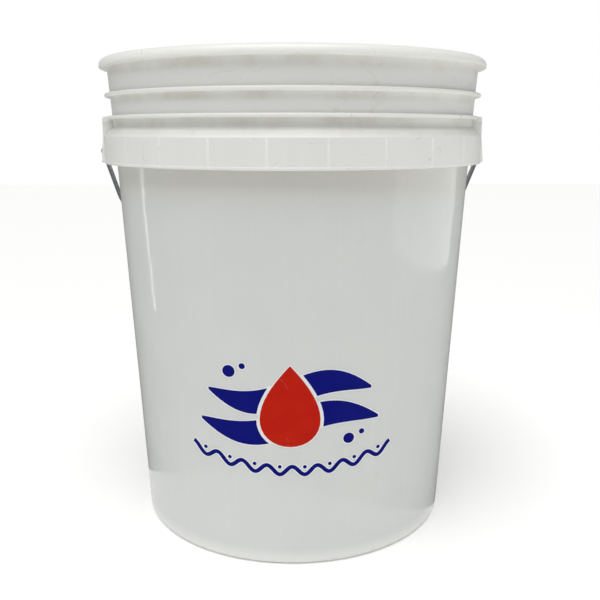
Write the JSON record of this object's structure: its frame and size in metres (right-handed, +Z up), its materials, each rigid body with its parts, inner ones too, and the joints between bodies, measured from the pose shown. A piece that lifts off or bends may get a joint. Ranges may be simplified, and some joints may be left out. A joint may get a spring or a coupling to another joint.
{
  "type": "wash bucket",
  "caption": "Tapered open-head plastic pail with a hollow reinforced skirt, moulded ears, a swinging wire bail and a roller grip, for hand car washing.",
  "frame": {"origin": "middle of the foot, on the ground", "axes": "+Z up along the pail's axis, -Y to the front, where the decal is, and X along the bail's axis through the two ears"},
  "size_m": [0.313, 0.3047, 0.368],
  "materials": {
    "pail_hdpe": "milky natural HDPE, moulded, slightly glossy",
    "decal_vinyl": "printed vinyl, satin",
    "bail_steel": "galvanised drawn wire",
    "grip_plastic": "moulded polyethylene, satin"
  },
  "bodies": {
    "pail": {"pail_body": "pail_hdpe", "front_decal": "decal_vinyl"},
    "bail": {"bail_wire": "bail_steel"},
    "grip": {"bail_grip": "grip_plastic"}
  },
  "joints": [
    {"name": "bail_swing", "type": "hinge", "parent": "pail", "child": "bail", "pos_m": [0, 0, 0.30075], "axis": [1, 0, 0], "range_deg": [0, 251.8]},
    {"name": "grip_spin", "type": "hinge", "parent": "bail", "child": "grip", "pos_m": [0, 0.14454, 0.19601], "axis": [1, 0, 0], "continuous": true}
  ]
}
